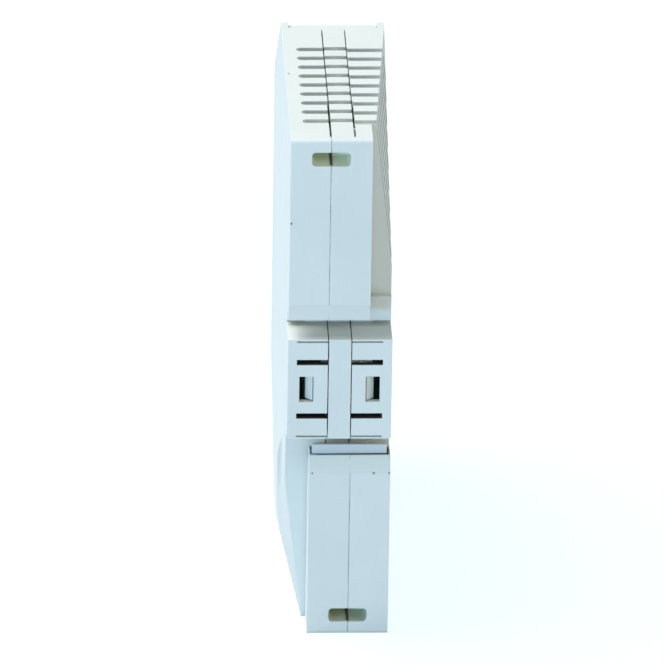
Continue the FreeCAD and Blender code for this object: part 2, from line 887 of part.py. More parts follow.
def lan_jack():
    side = lan_size / 2
    nose = box(-lan_half, lan_half, lan_t - side, lan_t + side, -bezel_wall - port_back_gap, -lan_recess)
    body = joined([nose, behind_bezel(lan_half, side, lan_t, -lan_depth)])
    wide, t0, t1 = lan_mouth
    back = -lan_depth + lan_back
    mouth = box(-wide / 2, wide / 2, lan_t + t0, lan_t + t1, back, 1)
    notch_wide, notch_t = lan_notch
    notch = box(-notch_wide / 2, notch_wide / 2, lan_t + notch_t, lan_t + t0 + fit_gap, back, 1)
    return on_slope(body.cut([mouth, notch]))


def lan_contacts():
    top = lan_t + lan_mouth[2]
    back = -lan_depth + lan_back
    wires = []
    for index in range(8):
        x = (index - 3.5) * lan_pitch
        corners = [Vector(x, top, back), Vector(x, top - lan_spring, back), Vector(x, top, -lan_spring)]
        face = Part.Face(Part.makePolygon(corners + corners[:1]))
        wires.append(face.extrude(Vector(lan_wire, 0, 0)))
    return on_slope(Part.makeCompound(wires))


def transceiver():
    """Optical module on the main board, with a socket for the foot of each sleeve."""
    wide, before, after, deep = module_size
    x1 = -main_face
    top = -bezel_wall - port_back_gap
    body = box(x1 - wide, x1, fibre_t[0] - before, fibre_t[1] + after, -deep, top)
    sockets = [rod(module_socket, (0, t, -sleeve_bottom - 0.5), (0, 0, 1), sleeve_bottom) for t in fibre_t]
    return turned(on_slope(body.cut(sockets)))


def fibre_port(t):
    """Bayonet barrel for a 2.5 mm ferrule, with its keyway and two lugs."""
    base = -bezel_wall - move_gap
    barrel = rod(fibre_radius, (0, t, base), (0, 0, 1), fibre_reach - base)
    well = rod(well_radius, (0, t, base - 1), (0, 0, 1), fibre_reach - base + 2)
    key_width, key_bottom = keyway
    x = key_width / 2
    slot = box(-x, x, t + well_radius - 1, t + fibre_radius + 1, key_bottom, fibre_reach + 1)
    lug_radius, lug_proud, lug_z = lug
    lugs = []
    for sign in (-1, 1):
        start = sign * (fibre_radius - move_gap)
        lugs.append(rod(lug_radius, (start, t, lug_z), (sign, 0, 0), lug_proud + move_gap))
    return turned(on_slope(joined([barrel] + lugs).cut([well, slot])))


def alignment_sleeves():
    """Ceramic sleeves that guide the ferrules, one in each port, with a wide foot."""
    top = fibre_reach - sleeve_recess
    sleeves = []
    for t in fibre_t:
        tube = rod(sleeve_radius, (0, t, -sleeve_bottom), (0, 0, 1), top + sleeve_bottom)
        foot = rod(sleeve_foot, (0, t, -sleeve_bottom), (0, 0, 1), sleeve_bottom - bezel_wall)
        bore = rod(ferrule_radius, (0, t, -ferrule_depth), (0, 0, 1), fibre_reach + ferrule_depth)
        sleeves.append(turned(on_slope(joined([tube, foot]).cut(bore))))
    return Part.makeCompound(sleeves)


def dust_cap(t):
    """Soft cap over a fibre port. It pulls straight off."""
    inner = fibre_radius + cap_gap
    cap = rod(inner + cap_wall, (0, t, move_gap), (0, 0, 1), cap_reach - move_gap)
    hollow = rod(inner, (0, t, 0), (0, 0, 1), fibre_reach + move_gap)
    cap = rounded(cap.cut(hollow), cap_round, lambda p: p.z > cap_reach - 0.01)
    return turned(on_slope(cap))


def service_jack():
    half_x, half_z = jack_half
    mouth_x, mouth_z, mouth_deep = jack_mouth
    blade_x, blade_z, blade_sink = jack_blade
    y0 = bezel_front - mouth_deep
    body = jack_block(half_x, half_z, switch_y, bezel_front - lan_recess)
    mouth = jack_block(mouth_x, mouth_z, y0, bezel_front + 1)
    blade = jack_block(blade_x, blade_z, y0 - 0.5, bezel_front - blade_sink)
    return body.cut(mouth).fuse(blade).removeSplitter()


def jack_block(half_x, half_z, y0, y1):
    return box(jack_x - half_x, jack_x + half_x, y0, y1, button_z - half_z, button_z + half_z)


# ---------------------------------------------------------------- lamps and controls


def light_guides():
    y0 = switch_y + lamp_size[2] + guide_gap
    long = bezel_front + guide_proud - y0
    rods = [rod(lamp_radius, (x, y0, z), (0, 1, 0), long) for x, z in lamp_places()]
    side, start, thick = guide_bar
    below, above = guide_bar_end
    z0 = middle + lamp_rows[0] - below
    z1 = middle + lamp_rows[-1] + above
    bar = box(-lamp_x - side, lamp_x + side, y0 + start, y0 + start + thick, z0, z1)
    return joined([bar] + rods)


def lamps():
    x_half, z_half, tall = lamp_size
    solids = []
    for x, z in lamp_places():
        y1 = switch_y + tall
        solids.append(box(x - x_half, x + x_half, switch_y, y1, z - z_half, z + z_half))
    return Part.makeCompound(solids)


def dial_case():
    side = dial_case_half
    body = box(-side, side, switch_y, bezel_front - bezel_wall - move_gap, dial_z - side, dial_z + side)
    well = rod(dial_radius + running_gap, (0, switch_y + dial_floor, dial_z), (0, 1, 0), front_length)
    return body.cut(well)


def rotary_dial():
    y0 = switch_y + dial_floor + move_gap
    y1 = bezel_front - move_gap
    rotor = rod(dial_radius, (0, y0, dial_z), (0, 1, 0), y1 - y0)
    wide, tall, deep = dial_slot
    slot = box(-wide / 2, wide / 2, y1 - deep, y1 + 1, dial_z - tall / 2, dial_z + tall / 2)
    arrow_width, arrow_tall, arrow_start = dial_arrow
    z0 = dial_z + arrow_start
    x = arrow_width / 2
    tips = [Vector(-x, y1 + 1, z0), Vector(x, y1 + 1, z0), Vector(0, y1 + 1, z0 + arrow_tall)]
    arrow = Part.Face(Part.makePolygon(tips + tips[:1])).extrude(Vector(0, -deep - 1, 0))
    notch_width, notch_start = dial_notch
    x = notch_width / 2
    notch = box(-x, x, y1 - deep, y1 + 1, dial_z + notch_start, dial_z + dial_radius + 1)
    return rotor.cut([slot, arrow, notch])


def dip_case():
    y1 = bezel_front - bezel_wall - move_gap
    x, z = dip_half
    body = box(-x, x, switch_y, y1, dip_z - z, dip_z + z)
    side = slider_size[0] / 2 + fit_gap
    tall = (slider_size[1] + slider_travel) / 2 + fit_gap
    cuts = []
    for place in dip_places():
        x0 = place - side
        cuts.append(box(x0, x0 + 2 * side, y1 - slider_well, y1 + 1, dip_z - tall, dip_z + tall))
    return body.cut(cuts)


def dip_places():
    return [(index - (dip_count - 1) / 2) * pin_pitch for index in range(dip_count)]


def dip_slider(place):
    y1 = bezel_front - bezel_wall - move_gap
    x = slider_size[0] / 2
    z = dip_z - slider_travel / 2
    half_z = slider_size[1] / 2
    foot = box(place - x, place + x, y1 - slider_root, y1 + slider_reach, z - half_z, z + half_z)
    return rounded(foot, x / 3, lambda p: p.y > y1 + slider_reach - 0.01)


def switch_base():
    side, tall = button_case
    body = box(button_x - side, button_x + side, switch_y, switch_y + tall, button_z - side, button_z + side)
    well = rod(button_stem + running_gap, (button_x, switch_y + button_floor, button_z), (0, 1, 0), tall)
    return body.cut(well)


def reset_button():
    clear = button_travel + fit_gap
    y0 = switch_y + button_floor + clear
    y1 = switch_y + button_case[1] + clear
    stem = rod(button_stem, (button_x, y0, button_z), (0, 1, 0), y1 - y0 + 1)
    top = rod(button_radius, (button_x, y1, button_z), (0, 1, 0), bezel_front + button_proud - y1)
    top = rounded(top, button_round, lambda p: p.y > bezel_front)
    return joined([stem, top])


def build():
    left = left_shell()
    nodes = {
        "left_shell": left,
        "right_shell": right_shell(left),
        "centre_frame": centre_frame(),
        "upper_rail_hook": jaw(),
        "lower_latch_guide": latch_guide(),
        "rail_latch": rail_latch(),
        "latch_spring": latch_spring(),
        "front_bezel": front_bezel(),
        "front_flap": front_flap(),
        "flap_hinge_pin": flap_pin(),
        "main_board": main_board(),
        "power_board": power_board(),
        "front_board": front_board(),
        "board_screws": board_screws(),
        "board_link_header": board_link(),
        "board_link_socket": link_socket(),
        "control_chip": control_chip(),
        "memory_chips": memory_chips(),
        "power_transformer": transformer(),
        "storage_capacitors": storage_capacitors(),
        "heat_spreader": heat_spreader(),
        "power_socket": power_socket(),
        "power_socket_pins": socket_pins(),
        "power_plug": power_plug(),
        "power_plug_screws": plug_screws(),
        "lan_jack": lan_jack(),
        "lan_jack_contacts": lan_contacts(),
        "optical_transceiver": transceiver(),
        "fibre_port_rear": fibre_port(fibre_t[0]),
        "fibre_port_front": fibre_port(fibre_t[1]),
        "alignment_sleeves": alignment_sleeves(),
        "dust_cap_rear": dust_cap(fibre_t[0]),
        "dust_cap_front": dust_cap(fibre_t[1]),
        "service_jack": service_jack(),
        "light_guides": light_guides(),
        "indicator_lamps": lamps(),
        "rotary_switch_case": dial_case(),
        "rotary_dial": rotary_dial(),
        "dip_switch_case": dip_case(),
        "reset_switch_base": switch_base(),
        "reset_button": reset_button(),
    }
    for index, place in enumerate(dip_places()):
        nodes["dip_slider_%d" % (index + 1)] = dip_slider(place)
    return nodes


os.makedirs("parts", exist_ok=True)
for name, shape in build().items():
    shape.translate(Vector(0, -depth / 2, 0))
    shape.exportStep("parts/%s.step" % name)
    print(name, len(shape.Solids), shape.isValid(), round(shape.Volume, 1))
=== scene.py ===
import json
import math

import bmesh
import bpy
from mathutils import Matrix, Vector


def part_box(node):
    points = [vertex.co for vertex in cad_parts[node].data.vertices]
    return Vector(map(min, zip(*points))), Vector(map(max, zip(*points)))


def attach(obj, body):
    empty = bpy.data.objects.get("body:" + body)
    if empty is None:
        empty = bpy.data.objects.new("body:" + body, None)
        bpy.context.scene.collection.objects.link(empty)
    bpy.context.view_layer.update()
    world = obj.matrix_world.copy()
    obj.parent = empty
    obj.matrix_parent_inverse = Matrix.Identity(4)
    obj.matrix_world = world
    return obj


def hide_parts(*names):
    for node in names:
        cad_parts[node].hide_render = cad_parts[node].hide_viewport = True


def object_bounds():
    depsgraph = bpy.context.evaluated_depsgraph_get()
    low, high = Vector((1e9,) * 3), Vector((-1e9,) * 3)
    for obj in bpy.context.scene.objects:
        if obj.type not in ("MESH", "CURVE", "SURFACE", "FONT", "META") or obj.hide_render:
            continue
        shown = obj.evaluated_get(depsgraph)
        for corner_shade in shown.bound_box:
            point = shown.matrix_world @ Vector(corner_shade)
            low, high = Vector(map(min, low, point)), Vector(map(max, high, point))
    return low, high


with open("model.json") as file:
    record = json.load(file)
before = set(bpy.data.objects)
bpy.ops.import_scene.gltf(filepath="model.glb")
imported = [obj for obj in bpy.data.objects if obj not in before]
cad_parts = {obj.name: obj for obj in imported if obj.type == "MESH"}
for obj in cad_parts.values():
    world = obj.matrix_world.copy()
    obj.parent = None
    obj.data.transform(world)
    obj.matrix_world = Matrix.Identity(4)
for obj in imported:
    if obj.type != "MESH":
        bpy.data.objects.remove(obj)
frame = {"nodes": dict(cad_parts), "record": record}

cad_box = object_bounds()
low = Vector(cad_box[0])
high = Vector(cad_box[1])
middle = (low + high) / 2
nodes = frame["nodes"]
body_of = {node: body for body, members in frame["record"]["behaviour"]["bodies"].items() for node in members}
slot_of = {part["node"]: part["material_slot"] for part in frame["record"]["subparts"]}
mm = 0.001

# Camera
view_azimuth = math.radians(-2.454)
view_elevation = math.radians(23.99)
view_roll = math.radians(-0.896)
view_distance = 2.540
view_lens = 629.0
sensor_width = 36.0
aim = middle + Vector((-0.23 * mm, -14.2 * mm, 0.1 * mm))
aim_drop = 2.36 * mm

# Rounding of moulded edges, and the seams and joints between the mouldings.
# Where two mouldings meet face to face the edge is nearly sharp.
edge_radius = 0.22 * mm
edge_angle = math.radians(28)
butt_joint = 0.2
same_place = 0.002 * mm
seam_x = 2.5 * mm
hook_tenon = 5.0 * mm
hook_joint_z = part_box("upper_rail_hook")[1].z - hook_tenon
guide_joint_z = low.z + high.z - hook_joint_z
foot_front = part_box("upper_rail_hook")[1].y + 3 * mm
hook_slot_z = high.z - 4.5 * mm
guide_slot_z = low.z + high.z - hook_slot_z

# The rear block, its slots and its windows, from the middle of the block
window_half = 3.6 * mm
block_half = 10.8 * mm
panel_half = 9.3 * mm
block_fade = (0.2 * mm, 0.4 * mm)

# The louvres where they cross the cut corner
corner_x = (7.0 * mm, 7.8 * mm)
corner_drop = 1.8 * mm
louvres_end = 8 * mm
wall_facing = 0.8

# Dust and dirt, with painted shade in the rear block's slots and the corner louvres, and painted light and
# shade in the bracket slots. A spot is a place and how far it reaches.
seam_reach = 0.22 * mm
bracket_slot_half = (4.4 * mm, 1.8 * mm)
bracket_slot_fade = (0.3 * mm, 1.2 * mm)
slit_reach = (0.2 * mm, 0.5 * mm)
seam_dust = (0.16, 0.155, 0.13)
unlit = (0.02, 0.02, 0.02)
louvre_shade = (0.20, 0.19, 0.14)
slit_dark = (0.05, 0.05, 0.03)
# Painted light in the hook slot, painted shade in the guide slot, both in a warm tint.
hook_slot_painted_light = (0.95, 0.97, 0.74)
guide_slot_painted_shade = (0.66, 0.68, 0.48)
spot_brown = (0.12, 0.10, 0.07)
speck_brown = (0.24, 0.22, 0.19)
dirt_spots = [
    (Vector((7.7 * mm, low.y, guide_joint_z)), 0.42 * mm),
    (Vector((11.1 * mm, low.y, guide_joint_z)), 0.38 * mm),
    (Vector((-5.6 * mm, low.y, guide_joint_z)), 0.30 * mm),
    (Vector((-10.9 * mm, low.y, 97.4 * mm)), 0.36 * mm),
    (Vector((-10.5 * mm, low.y + 37 * mm, high.z)), 0.36 * mm),
]

# Materials
plastic_grain = 0.16 * mm

# Floor and surroundings, as the camera sees them and as they light the object
floor_size = 6.0
floor_gap = 0.01 * mm
floor_seen = ((0.20, 0.13, 0.13), (0.21, 0.14, 0.14))
floor_bounce = ((0.60, 0.61, 0.62), (0.63, 0.64, 0.65))
floor_glow = (0.81, 0.93, 0.94, 1.0)
fill_colour = (0.73, 0.94, 1.0, 1.0)
fill_strength = 0.395
backdrop_strength = 1.1

# Dust caps and printed marks
cap_wall = 1.1 * mm
cap_top = 1.2 * mm
rib_count = 30
rib_depth = 0.3 * mm
points_per_rib = 8
ink_height = 0.03 * mm
ink_root = 0.02 * mm


# ---------------------------------------------------------------- small helpers


def collection_link(obj):
    bpy.context.scene.collection.objects.link(obj)
    return obj


def mesh_object(name, mesh_data):
    return collection_link(bpy.data.objects.new(name, mesh_data))


def apply_modifiers(obj):
    """Swap the object's mesh for what its modifiers make of it."""
    graph = bpy.context.evaluated_depsgraph_get()
    graph.update()
    shaped = obj.evaluated_get(graph)
    final = bpy.data.meshes.new_from_object(shaped, preserve_all_data_layers=True, depsgraph=graph)
    obj.modifiers.clear()
    obj.data = final


def finished(obj, body, material):
    """Give a new piece its material and the body it rides on."""
    obj.data.materials.clear()
    obj.data.materials.append(material)
    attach(obj, body)


def is_butt_joint(edge):
    """True on the edges where the feet's halves, the hook and the guide meet."""
    a, b = (vert.co for vert in edge.verts)
    on_foot = max(a.y, b.y) < foot_front and min(a.z, b.z) > hook_joint_z - 0.1 * mm
    on_foot = on_foot or (max(a.y, b.y) < foot_front and max(a.z, b.z) < guide_joint_z + 0.1 * mm)
    if not on_foot:
        return False
    close = 0.25 * mm
    seam = all(abs(abs(p.x) - seam_x) < close for p in (a, b))
    joint = all(min(abs(p.z - hook_joint_z), abs(p.z - guide_joint_z)) < 0.05 * mm for p in (a, b))
    return seam or joint


def weigh_edges(work):
    """Bevel weight 1 on sharp edges and less on butt joints."""
    layer = work.edges.layers.float.new("bevel_weight_edge")
    for edge in work.edges:
        if len(edge.link_faces) == 2 and edge.calc_face_angle(0.0) > edge_angle:
            edge[layer] = butt_joint if is_butt_joint(edge) else 1.0


def soften(node):
    """Copy a CAD node with its sharp edges rounded, to stand for the node."""
    source = nodes[node]
    data = source.data.copy()
    work = bmesh.new()
    work.from_mesh(data)
    bmesh.ops.remove_doubles(work, verts=work.verts, dist=same_place)
    bmesh.ops.dissolve_degenerate(work, dist=same_place, edges=work.edges)
    bmesh.ops.dissolve_limit(work, angle_limit=math.radians(0.5), verts=work.verts, edges=work.edges)
    weigh_edges(work)
    work.to_mesh(data)
    work.free()
    data.shade_smooth()
    data.set_sharp_from_angle(angle=math.radians(32))
    piece = mesh_object(node + "_body", data)
    bevel = piece.modifiers.new("edges", "BEVEL")
    bevel.width = edge_radius
    bevel.segments = 2
    bevel.limit_method = "WEIGHT"
    bevel.use_clamp_overlap = True
    bevel.harden_normals = False
    bevel.miter_outer = "MITER_ARC"
    flats = piece.modifiers.new("flat faces", "WEIGHTED_NORMAL")
    flats.mode = "FACE_AREA"
    flats.weight = 100
    apply_modifiers(piece)
    finished(piece, body_of[node], materials[slot_of[node]])
    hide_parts(node)


# ---------------------------------------------------------------- material graph helpers


class Graph:
    """Short names for building a node material."""

    def __init__(self, name):
        self.material = bpy.data.materials.new(name)
        self.material.use_nodes = True
        self.tree = self.material.node_tree
        self.shader = self.tree.nodes["Principled BSDF"]
        self.place = self.add("ShaderNodeTexCoord").outputs["Object"]

    def add(self, kind, **settings):
        node = self.tree.nodes.new(kind)
        for key, value in settings.items():
            setattr(node, key, value)
        return node

    def link(self, source, target):
        self.tree.links.new(source, target)

    def stretch(self, scale):
        """Object coordinates scaled per axis."""
        mapping = self.add("ShaderNodeMapping")
        mapping.inputs["Scale"].default_value = scale
        self.link(self.place, mapping.inputs["Vector"])
        return mapping.outputs["Vector"]

    def noise(self, size, detail=3.0, roughness=0.5, vector=None):
        """Noise whose lumps are about size metres across."""
        node = self.add("ShaderNodeTexNoise")
        node.inputs["Scale"].default_value = 1.0 / size
        node.inputs["Detail"].default_value = detail
        node.inputs["Roughness"].default_value = roughness
        self.link(vector or self.place, node.inputs["Vector"])
        return node.outputs["Fac"]

    def cells(self, size, vector=None):
        node = self.add("ShaderNodeTexVoronoi")
        node.inputs["Scale"].default_value = 1.0 / size
        self.link(vector or self.place, node.inputs["Vector"])
        return node

    def remap(self, value, low_in, high_in, low_out, high_out):
        node = self.add("ShaderNodeMapRange")
        self.link(value, node.inputs["Value"])
        node.inputs["From Min"].default_value = low_in
        node.inputs["From Max"].default_value = high_in
        node.inputs["To Min"].default_value = low_out
        node.inputs["To Max"].default_value = high_out
        return node.outputs["Result"]

    def math(self, operation, a, b=0.0):
        node = self.add("ShaderNodeMath", operation=operation)
        for socket, value in zip(node.inputs, (a, b)):
            if isinstance(value, (int, float)):
                socket.default_value = value
            else:
                self.link(value, socket)
        return node.outputs["Value"]

    def product(self, *masks):
        """Several masks multiplied together."""
        result = masks[0]
        for mask in masks[1:]:
            result = self.math("MULTIPLY", result, mask)
        return result

    def mix(self, factor, a, b):
        """Blend two colours, each a socket or an (r, g, b)."""
        node = self.add("ShaderNodeMix", data_type="RGBA")
        sockets = [s for s in node.inputs if s.type == "RGBA"]
        self.link(factor, node.inputs[0])
        for socket, value in zip(sockets, (a, b)):
            if isinstance(value, tuple):
                socket.default_value = (*value, 1.0)
            else:
                self.link(value, socket)
        return [s for s in node.outputs if s.type == "RGBA"][0]

    def edges(self, radius):
        """1 on convex and concave edges, 0 on flat faces."""
        bevel = self.add("ShaderNodeBevel", samples=4)
        bevel.inputs["Radius"].default_value = radius
        flat = self.add("ShaderNodeNewGeometry")
        dot = self.add("ShaderNodeVectorMath", operation="DOT_PRODUCT")
        self.link(bevel.outputs["Normal"], dot.inputs[0])
        self.link(flat.outputs["Normal"], dot.inputs[1])
        return self.remap(dot.outputs["Value"], 0.995, 0.86, 0.0, 1.0)

    def crevice(self, distance, start=0.75, full=0.15):
        """1 in tight corners, 0 in the open."""
        openness = self.add("ShaderNodeAmbientOcclusion", samples=6)
        openness.inputs["Distance"].default_value = distance
        return self.remap(openness.outputs["AO"], start, full, 0.0, 1.0)

    def axes(self):
        split = self.add("ShaderNodeSeparateXYZ")
        self.link(self.place, split.inputs["Vector"])
        return split.outputs["X"], split.outputs["Y"], split.outputs["Z"]

    def near_plane(self, value, at, reach):
        """1 where value is close to at, fading to 0 over reach."""
        gap = self.math("ABSOLUTE", self.math("SUBTRACT", value, at))
        return self.remap(gap, reach * 0.3, reach, 1.0, 0.0)

    def near_point(self, point, reach):
        node = self.add("ShaderNodeVectorMath", operation="DISTANCE")
        self.link(self.place, node.inputs[0])
        node.inputs[1].default_value = point
        wobble = self.math("MULTIPLY", self.noise(0.5 * mm, 2.0), 0.6 * reach)
        return self.remap(self.math("ADD", node.outputs["Value"], wobble), 0.8 * reach, 1.2 * reach, 1.0, 0.0)

    def bump(self, height, strength, distance):
        node = self.add("ShaderNodeBump")
        node.inputs["Strength"].default_value = strength
        node.inputs["Distance"].default_value = distance
        self.link(height, node.inputs["Height"])
        self.link(node.outputs["Normal"], self.shader.inputs["Normal"])

    def colour(self, socket):
        self.link(socket, self.shader.inputs["Base Color"])

    def roughness(self, socket):
        self.link(socket, self.shader.inputs["Roughness"])

    def set(self, **values):
        names = {"metallic": "Metallic", "ior": "IOR", "coat": "Coat Weight",
                 "coat_roughness": "Coat Roughness", "transmission": "Transmission Weight",
                 "specular": "Specular IOR Level"}
        for key, value in values.items():
            self.shader.inputs[names[key]].default_value = value


def shade(colour, factor):
    return tuple(min(1.0, channel * factor) for channel in colour)


# ---------------------------------------------------------------- materials


def inside_block(graph, x, y, z):
    """1 in the unlit slots and hollow of the rear block, but not in its two windows."""
    level = graph.math("ABSOLUTE", graph.math("SUBTRACT", z, middle.z))
    clear_of_windows = graph.math("GREATER_THAN", level, window_half)
    in_block = graph.math("LESS_THAN", level, block_half)
    in_panel = graph.math("LESS_THAN", graph.math("ABSOLUTE", x), panel_half)
    deep = graph.remap(y, low.y + block_fade[0], low.y + block_fade[1], 0.0, 1.0)
    return graph.product(clear_of_windows, in_block, in_panel, deep)


def bevel_slots(graph, x, y, z):
    """1 on the walls of the louvres where they cross the upper cut corner."""
    turn = graph.add("ShaderNodeSeparateXYZ")
    graph.link(graph.add("ShaderNodeNewGeometry").outputs["Normal"], turn.inputs["Vector"])
    wall = graph.math("GREATER_THAN", graph.math("ABSOLUTE", turn.outputs["Y"]), wall_facing)
    upper = graph.math("GREATER_THAN", z, middle.z)
    below_roof = graph.math("LESS_THAN", z, high.z - corner_drop)
    outer = graph.remap(graph.math("ABSOLUTE", x), *corner_x, 0.0, 1.0)
    past_feet = graph.math("GREATER_THAN", y, foot_front)
    before_front = graph.math("LESS_THAN", y, louvres_end)
    return graph.product(wall, upper, below_roof, outer, past_feet, before_front)


def bracket_slot_light_and_shade(graph, body, place, centre_x, centre_z, recess_tone):
    """Painted light and shade inside a bracket slot, in a warm tint that grows deeper in, with a dark slit at
    the seam.
    """
    x, y, z = place
    off_x = graph.math("ABSOLUTE", graph.math("SUBTRACT", x, centre_x))
    off_z = graph.math("ABSOLUTE", graph.math("SUBTRACT", z, centre_z))
    in_width = graph.math("LESS_THAN", off_x, bracket_slot_half[0])
    in_height = graph.math("LESS_THAN", off_z, bracket_slot_half[1])
    deep = graph.remap(y, low.y + bracket_slot_fade[0], low.y + bracket_slot_fade[1], 0.0, 1.0)
    inside = graph.product(in_width, in_height, deep)
    # The slot's inside is painted with its light and shade: lighter than the body in the hook slot, darker in
    # the guide slot.
    body = graph.mix(graph.product(inside, 0.7), body, recess_tone)
    slit = graph.product(inside, graph.remap(off_x, *slit_reach, 1.0, 0.0))
    return graph.mix(graph.product(slit, 0.9), body, slit_dark)


def seam_lines(graph, x, y, z):
    """1 along the two seams. Each stops where a foot is one piece, and both are fainter on the rear plane."""
    past_feet = graph.math("GREATER_THAN", y, foot_front)
    above_latch = graph.math("GREATER_THAN", z, guide_joint_z + hook_tenon)
    below_hook = graph.math("LESS_THAN", z, hook_joint_z - hook_tenon)
    left_extent = graph.math("MAXIMUM", past_feet, above_latch)
    right_extent = graph.math("MAXIMUM", past_feet, below_hook)
    left = graph.product(graph.near_plane(x, -seam_x, seam_reach), left_extent)
    right = graph.product(graph.near_plane(x, seam_x, seam_reach), right_extent)
    on_rear = graph.math("LESS_THAN", y, low.y + 0.4 * mm)
    fade = graph.math("SUBTRACT", 1.0, graph.product(on_rear, 0.6))
    return graph.product(graph.math("MAXIMUM", left, right), fade)


def housing_dirt_and_shade(graph, body):
    """Dust along the two seams and in a few spots, painted shade in the rear block's slots and in the louvres
    on the cut corner, and painted light and shade in the bracket slots.
    """
    x, y, z = graph.axes()
    broken = graph.remap(graph.noise(5 * mm, 4.0, 0.65), 0.42, 0.62, 0.0, 0.7)
    body = graph.mix(graph.product(seam_lines(graph, x, y, z), broken), body, seam_dust)
    # Painted shade: the slots and hollow of the rear block are painted near black.
    body = graph.mix(graph.product(inside_block(graph, x, y, z), 0.92), body, unlit)
    # Painted shade on the walls of the louvres where they cross the cut corner, in a warm grey-brown.
    body = graph.mix(graph.product(bevel_slots(graph, x, y, z), 0.7), body, louvre_shade)
    body = bracket_slot_light_and_shade(graph, body, (x, y, z), -seam_x, hook_slot_z, hook_slot_painted_light)
    body = bracket_slot_light_and_shade(graph, body, (x, y, z), seam_x, guide_slot_z, guide_slot_painted_shade)
    for point, reach in dirt_spots:
        body = graph.mix(graph.product(graph.near_point(point, reach), 0.8), body, spot_brown)
    return body


def dust_specks(graph, body):
    """A few small specks, scattered at random."""
    dots = graph.cells(7.0 * mm)
    chosen = graph.add("ShaderNodeSeparateColor")
    graph.link(dots.outputs["Color"], chosen.inputs["Color"])
    keep = graph.math("GREATER_THAN", chosen.outputs["Red"], 0.8)
    size = graph.remap(chosen.outputs["Green"], 0.0, 1.0, 0.012, 0.045)
    near = graph.math("LESS_THAN", dots.outputs["Distance"], size)
    return graph.mix(graph.product(keep, near, 0.75), body, speck_brown)


def moulded_plastic(name, colour, gloss=0.5, specks=True, seams=False):
    """Fine-grained moulded plastic with handling marks, rubbed edges and a few specks of dirt, darkened with
    painted shade in its corners.
    """
    graph = Graph(name)
    clouds = graph.noise(18 * mm, 4.0, 0.55)
    body = graph.mix(graph.remap(clouds, 0.3, 0.7, 0.0, 1.0), shade(colour, 0.972), shade(colour, 1.02))
    streaks = graph.noise(2.4 * mm, 5.0, 0.6, graph.stretch((1.0, 1.0, 0.18)))
    scuffs = graph.remap(streaks, 0.62, 0.78, 0.0, 0.175)
    body = graph.mix(scuffs, body, shade(colour, 0.9))
    patches = graph.remap(graph.noise(1.6 * mm), 0.35, 0.7, 0.0, 0.5)
    rub = graph.product(graph.edges(0.35 * mm), patches)
    body = graph.mix(rub, body, shade(colour, 1.1))
    # Painted shade: corners and crevices are darkened toward a warm grey-brown.
    corner_shade = graph.math("MULTIPLY", graph.crevice(3.0 * mm, 0.7, 0.1), 0.475)
    body = graph.mix(corner_shade, body, (colour[0] * 0.76, colour[1] * 0.71, colour[2] * 0.60))
    if seams:
        # Besides seams and spots, this paints shade and light into the housing's slots and louvres.
        body = housing_dirt_and_shade(graph, body)
    if specks:
        body = dust_specks(graph, body)
    graph.colour(body)
    rough = graph.remap(graph.noise(5 * mm, 5.0, 0.6), 0.25, 0.75, gloss - 0.05, gloss + 0.07)
    worn = graph.math("MULTIPLY", rub, -0.12)
    graph.roughness(graph.math("ADD", rough, worn))
    grain_height = graph.noise(plastic_grain, 2.0, 0.5)
    ripple = graph.math("MULTIPLY", graph.noise(9 * mm, 2.0, 0.5), 6.0)
    graph.bump(graph.math("ADD", grain_height, ripple), 0.30, 0.012 * mm)
    graph.set(ior=1.5)
    return graph.material


def metal(name, colour, rough=0.3, grain=(1.0, 1.0, 0.05), hollow=0.8 * mm, dark=0.45):
    """Plated or drawn metal with fine directional marks, darkened in its corners with painted shade."""
    graph = Graph(name)
    marks = graph.noise(0.25 * mm, 4.0, 0.6, graph.stretch(grain))
    tint = graph.mix(graph.remap(marks, 0.3, 0.7, 0.0, 1.0), shade(colour, 0.86), shade(colour, 1.06))
    # Painted shade: the corners and hollows are darkened, nearly to black where dark is small.
    hollow_shade = graph.math("MULTIPLY", graph.crevice(hollow), 1.1 - dark)
    tint = graph.mix(hollow_shade, tint, shade(colour, dark))
    graph.colour(tint)
    spread = graph.remap(graph.noise(1.5 * mm, 4.0), 0.3, 0.7, rough - 0.06, rough + 0.1)
    bright = graph.product(graph.edges(0.15 * mm), -0.3 * rough)
    graph.roughness(graph.math("ADD", spread, bright))
    graph.bump(marks, 0.25, 0.01 * mm)
    graph.set(metallic=1.0)
    return graph.material


